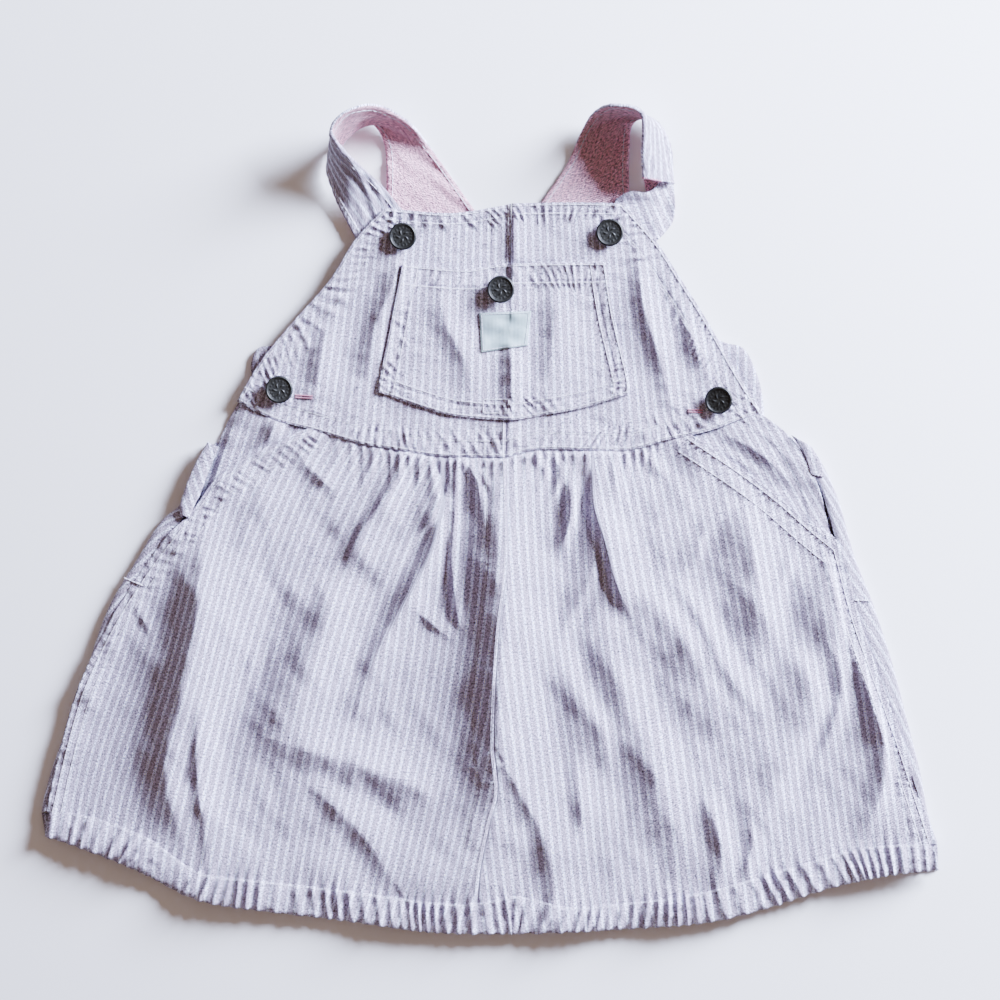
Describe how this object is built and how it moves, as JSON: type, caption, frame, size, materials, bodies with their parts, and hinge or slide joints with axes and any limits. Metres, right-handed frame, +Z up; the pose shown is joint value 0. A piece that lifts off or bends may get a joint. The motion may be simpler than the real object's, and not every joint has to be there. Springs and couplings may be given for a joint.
{
  "type": "pinafore dress",
  "caption": "Toddler's pinafore dress in striped cotton twill, laid flat: bib with pocket, looped button straps, gathered skirt, slanted hip pockets and an elastic hem.",
  "frame": {"origin": "middle of the dress's box at the surface it lies on", "axes": "+X to the viewer's right across the skirt, +Y towards the straps, +Z up from the surface, out of the front of the dress"},
  "size_m": [0.458, 0.4226, 0.0276],
  "materials": {
    "twill": "washed cotton twill, pink and white stripe",
    "twill_inside": "inside of the twill, pink",
    "label": "smooth woven label, bare",
    "button": "dark pewter tack button"
  },
  "bodies": {
    "root": {"back_skirt": "twill_inside", "hem_back": "twill", "bib_back": "twill_inside", "strap_left": "twill", "strap_right": "twill", "strap_right_fold": "twill", "skirt_front_left": "twill", "skirt_front_right": "twill", "hem_front": "twill", "hip_facing_left": "twill", "hip_facing_right": "twill", "placket_left": "twill", "placket_right": "twill", "bib_left": "twill", "bib_right": "twill", "bib_pocket": "twill", "label": "label", "button_strap_left": "button", "button_strap_right": "button", "button_pocket": "button", "button_side_left": "button", "button_side_right": "button"}
  },
  "joints": []
}
